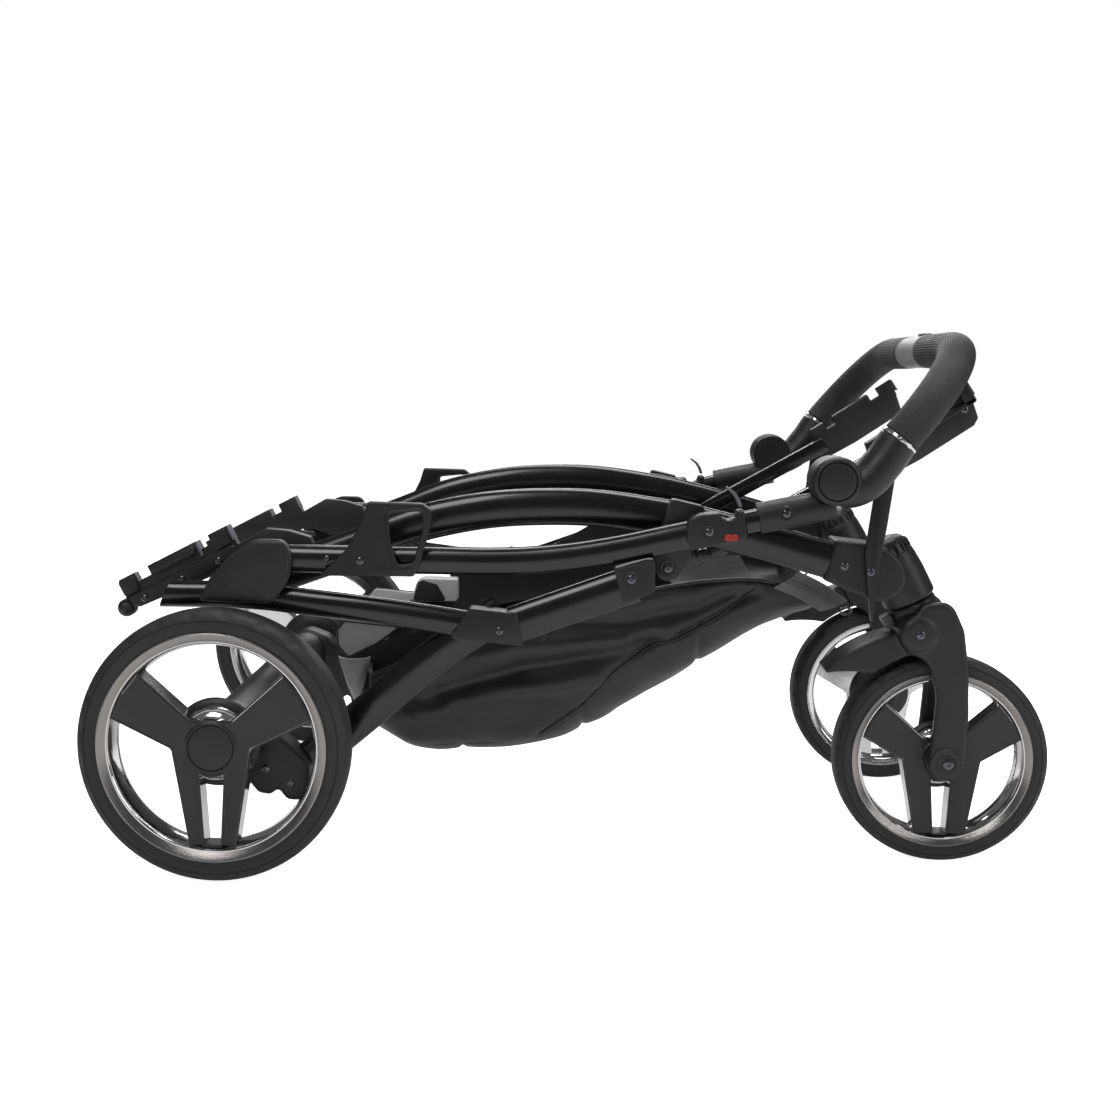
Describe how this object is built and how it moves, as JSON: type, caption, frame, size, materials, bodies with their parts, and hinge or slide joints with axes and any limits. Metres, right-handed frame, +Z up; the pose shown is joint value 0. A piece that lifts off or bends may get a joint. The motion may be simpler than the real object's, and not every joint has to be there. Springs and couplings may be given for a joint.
{
  "type": "pet stroller chassis",
  "caption": "Folded tandem pram-style chassis on four wheels, with swivelling front forks, folding side tubes, cabin receivers, a slung basket and a tilting push bar.",
  "frame": {"origin": "on the ground under the middle of the bounding box, with the chassis folded on its wheels", "axes": "+Z up, +X towards the front casters and the push bar, +Y to the left side of the stroller"},
  "size_m": [1.0364, 0.5916, 0.5797],
  "materials": {
    "black_plastic": "fine satin texture",
    "gloss_black": "gloss black enamel on tube",
    "tyre": "solid foam rubber",
    "chrome": "dark chrome",
    "leatherette": "soft black leatherette",
    "grey_plastic": "satin grey",
    "red_plastic": "satin red"
  },
  "bodies": {
    "main_frame": {"front_leg_right": "gloss_black", "front_leg_left": "gloss_black", "leg_sleeve_right": "black_plastic", "leg_sleeve_left": "black_plastic", "caster_housing_right": "black_plastic", "caster_housing_left": "black_plastic", "front_cross_tube": "gloss_black", "lower_tube_right": "gloss_black", "lower_tube_left": "gloss_black", "elbow_bracket_right": "black_plastic", "elbow_bracket_left": "black_plastic", "brace_tube_right": "gloss_black", "brace_tube_left": "gloss_black", "rear_receiver_right": "black_plastic", "rear_receiver_left": "black_plastic", "front_receiver_right": "black_plastic", "front_receiver_left": "black_plastic", "receiver_arm_right": "gloss_black", "receiver_arm_left": "gloss_black", "receiver_strut_right": "black_plastic", "receiver_strut_left": "black_plastic", "basket": "leatherette"},
    "rear_legs": {"rear_leg_right": "gloss_black", "rear_leg_left": "gloss_black", "rear_axle_beam": "black_plastic"},
    "brake_pedal": {"brake_pedal": "black_plastic"},
    "handle_frame": {"side_tube_right": "gloss_black", "side_tube_left": "gloss_black", "fold_cover_right": "leatherette", "fold_cover_left": "leatherette", "latch_housing_right": "black_plastic", "latch_housing_left": "black_plastic", "handle_sleeve_right": "black_plastic", "handle_sleeve_left": "black_plastic", "carry_loop_right": "black_plastic", "carry_loop_left": "black_plastic"},
    "push_bar": {"bar_elbow_right": "black_plastic", "bar_elbow_left": "black_plastic", "push_bar_grip": "leatherette", "centre_sleeve": "grey_plastic", "trim_ring_right": "chrome", "trim_ring_left": "chrome"},
    "safety_button": {"safety_button": "red_plastic"},
    "bar_button": {"bar_button": "black_plastic"},
    "fork_right": {"front_fork_right": "black_plastic"},
    "swivel_lock_right": {"swivel_lock_right": "grey_plastic"},
    "front_wheel_right": {"front_wheel_right": "black_plastic", "front_tyre_right": "tyre"},
    "rear_wheel_right": {"rear_wheel_right": "black_plastic", "rear_tyre_right": "tyre"},
    "fold_trigger_right": {"fold_trigger_right": "black_plastic"},
    "angle_button_right": {"angle_button_right": "black_plastic"},
    "fork_left": {"front_fork_left": "black_plastic"},
    "swivel_lock_left": {"swivel_lock_left": "grey_plastic"},
    "front_wheel_left": {"front_wheel_left": "black_plastic", "front_tyre_left": "tyre"},
    "rear_wheel_left": {"rear_wheel_left": "black_plastic", "rear_tyre_left": "tyre"},
    "fold_trigger_left": {"fold_trigger_left": "black_plastic"},
    "angle_button_left": {"angle_button_left": "black_plastic"}
  },
  "joints": [
    {"name": "rear_leg_fold", "type": "hinge", "parent": "main_frame", "child": "rear_legs", "pos_m": [-0.08325, 0, 0.273], "axis": [0, -1, 0], "range_deg": [0, 50]},
    {"name": "handle_fold", "type": "hinge", "parent": "main_frame", "child": "handle_frame", "pos_m": [-0.33825, 0, 0.3263], "axis": [0, -1, 0], "range_deg": [0, 136]},
    {"name": "push_bar_angle", "type": "hinge", "parent": "handle_frame", "child": "push_bar", "pos_m": [0.26775, 0, 0.425], "axis": [0, -1, 0], "range_deg": [0, 60]},
    {"name": "brake_press", "type": "hinge", "parent": "rear_legs", "child": "brake_pedal", "pos_m": [-0.35125, -0.184, 0.098], "axis": [0, 1, 0], "range_deg": [0, 12]},
    {"name": "safety_press", "type": "slide", "parent": "handle_frame", "child": "safety_button", "axis": [0, 1, 0], "range_m": [0, 0.002], "stiffness_N_per_m": 800},
    {"name": "bar_button_press", "type": "slide", "parent": "push_bar", "child": "bar_button", "axis": [0, 0, -1], "range_m": [0, 0.002], "stiffness_N_per_m": 800},
    {"name": "caster_swivel_right", "type": "hinge", "parent": "main_frame", "child": "fork_right", "pos_m": [0.36825, -0.156, 0.2885], "axis": [-0.4462, 0, 0.8949], "continuous": true},
    {"name": "front_spin_right", "type": "hinge", "parent": "fork_right", "child": "front_wheel_right", "pos_m": [0.40375, -0.156, 0.1145], "axis": [0, 1, 0], "continuous": true},
    {"name": "rear_spin_right", "type": "hinge", "parent": "rear_legs", "child": "rear_wheel_right", "pos_m": [-0.37325, -0.2741, 0.145], "axis": [0, 1, 0], "continuous": true},
    {"name": "swivel_lock_slide_right", "type": "slide", "parent": "fork_right", "child": "swivel_lock_right", "axis": [-0.4462, 0, 0.8949], "range_m": [0, 0.003]},
    {"name": "trigger_pull_right", "type": "hinge", "parent": "handle_frame", "child": "fold_trigger_right", "pos_m": [0.17425, -0.238, 0.398], "axis": [0, 1, 0], "range_deg": [0, 12], "stiffness_Nm_per_rad": 0.2},
    {"name": "angle_button_press_right", "type": "slide", "parent": "push_bar", "child": "angle_button_right", "axis": [0, 1, 0], "range_m": [0, 0.0025], "stiffness_N_per_m": 800},
    {"name": "caster_swivel_left", "type": "hinge", "parent": "main_frame", "child": "fork_left", "pos_m": [0.36825, 0.156, 0.2885], "axis": [-0.4462, 0, 0.8949], "continuous": true},
    {"name": "front_spin_left", "type": "hinge", "parent": "fork_left", "child": "front_wheel_left", "pos_m": [0.40375, 0.156, 0.1145], "axis": [0, 1, 0], "continuous": true},
    {"name": "rear_spin_left", "type": "hinge", "parent": "rear_legs", "child": "rear_wheel_left", "pos_m": [-0.37325, 0.2741, 0.145], "axis": [0, 1, 0], "continuous": true},
    {"name": "swivel_lock_slide_left", "type": "slide", "parent": "fork_left", "child": "swivel_lock_left", "axis": [-0.4462, 0, 0.8949], "range_m": [0, 0.003]},
    {"name": "trigger_pull_left", "type": "hinge", "parent": "handle_frame", "child": "fold_trigger_left", "pos_m": [0.17425, 0.238, 0.398], "axis": [0, 1, 0], "range_deg": [0, 12], "stiffness_Nm_per_rad": 0.2},
    {"name": "angle_button_press_left", "type": "slide", "parent": "push_bar", "child": "angle_button_left", "axis": [0, -1, 0], "range_m": [0, 0.0025], "stiffness_N_per_m": 800}
  ],
  "couplings": [
    {"joint": "handle_fold", "follows": "rear_leg_fold", "ratio": 2.72}
  ]
}
